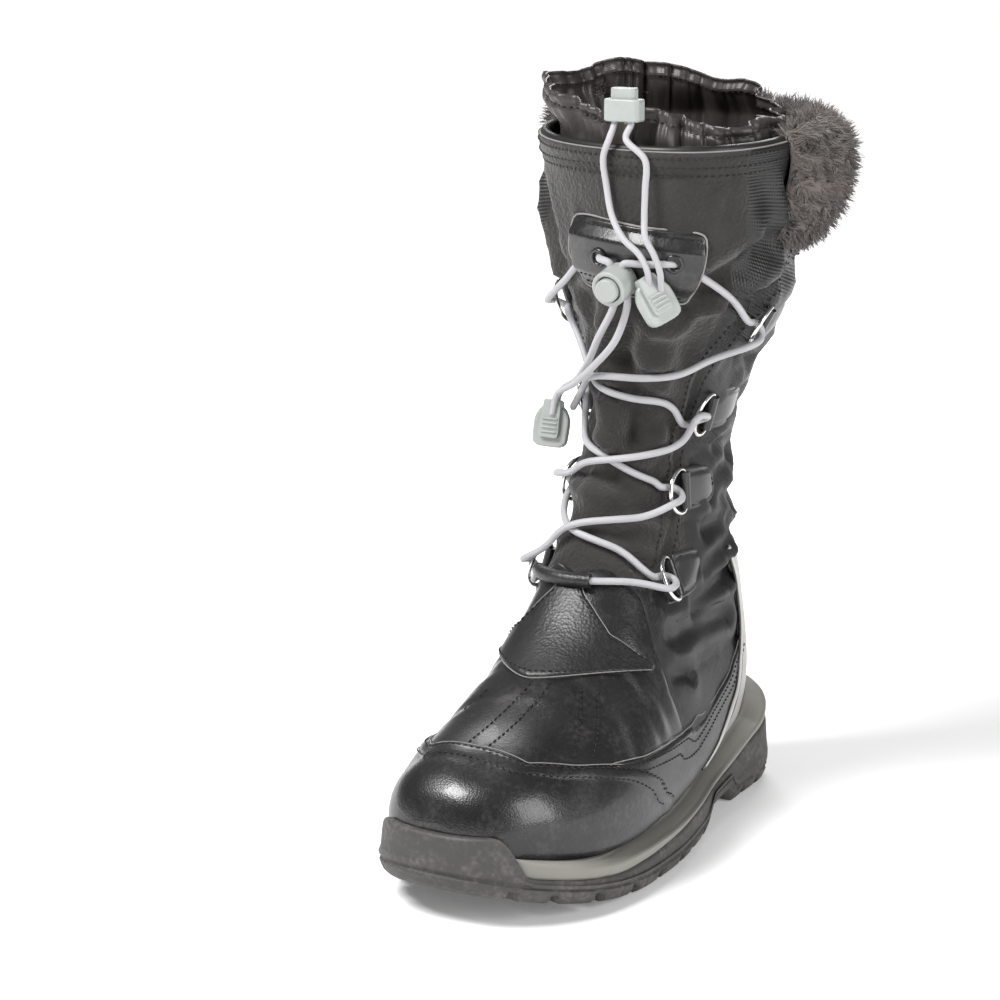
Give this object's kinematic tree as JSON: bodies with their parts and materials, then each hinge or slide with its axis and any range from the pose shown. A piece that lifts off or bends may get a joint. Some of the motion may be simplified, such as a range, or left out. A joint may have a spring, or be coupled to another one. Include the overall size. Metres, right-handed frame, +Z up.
{
  "type": "snow boot",
  "caption": "Left knee-low snow boot: rubber sole, leather toe cap and side panels, padded textile shaft with elastic lacing through rings, drawstring cuff and faux-fur rim",
  "frame": {"origin": "on the floor at the middle of the heel, the point the boot stands on", "axes": "-Y runs forward to the toe, +X to the outer (lateral) side, +Z up the shaft"},
  "size_m": [0.1543, 0.3124, 0.3554],
  "materials": {
    "ring_steel": "nickel-plated wire",
    "cord_plastic": "light grey moulded plastic",
    "elastic_cord": "braided round elastic",
    "cuff_fur": "short brown-grey faux fur",
    "counter_leather": "silver-grey coated leather",
    "insole_fleece": "dark fleece",
    "trim_leather": "smooth black leather, semi-gloss",
    "midsole_foam": "smooth light grey-green moulding",
    "outsole_rubber": "matte moulded rubber, dusty",
    "cuff_nylon": "shiny thin nylon, gathered",
    "shell_textile": "coated woven textile with a fine rib"
  },
  "bodies": {
    "boot": {"d_ring_lateral_1": "ring_steel", "d_ring_lateral_2": "ring_steel", "d_ring_lateral_3": "ring_steel", "d_ring_lateral_4": "ring_steel", "d_ring_medial_1": "ring_steel", "d_ring_medial_2": "ring_steel", "d_ring_medial_3": "ring_steel", "d_ring_medial_4": "ring_steel", "drawcord_clip": "cord_plastic", "drawcord_left": "elastic_cord", "drawcord_lock": "cord_plastic", "drawcord_right": "elastic_cord", "fur_cuff": "cuff_fur", "heel_counter": "counter_leather", "insole": "insole_fleece", "instep_overlay": "trim_leather", "lace": "elastic_cord", "lace_clip": "cord_plastic", "lace_end_left": "elastic_cord", "lace_end_right": "elastic_cord", "lace_lock": "cord_plastic", "lace_patch": "trim_leather", "midsole": "midsole_foam", "outsole": "outsole_rubber", "ring_tab_lateral_1": "trim_leather", "ring_tab_lateral_2": "trim_leather", "ring_tab_lateral_3": "trim_leather", "ring_tab_lateral_4": "trim_leather", "ring_tab_medial_1": "trim_leather", "ring_tab_medial_2": "trim_leather", "ring_tab_medial_3": "trim_leather", "ring_tab_medial_4": "trim_leather", "side_panel_lateral": "trim_leather", "side_panel_medial": "trim_leather", "snow_cuff": "cuff_nylon", "toe_cap": "trim_leather", "upper": "shell_textile"},
    "lace_button": {"lace_lock_button": "cord_plastic"},
    "cuff_button": {"drawcord_lock_button": "cord_plastic"}
  },
  "joints": [
    {"name": "lace_button_press", "type": "slide", "parent": "boot", "child": "lace_button", "axis": [0.024, 0.9659, 0.258], "range_m": [0, 0.0028], "stiffness_N_per_m": 300},
    {"name": "cuff_button_press", "type": "slide", "parent": "boot", "child": "cuff_button", "axis": [0, 0, -1], "range_m": [0, 0.0026], "stiffness_N_per_m": 300}
  ]
}
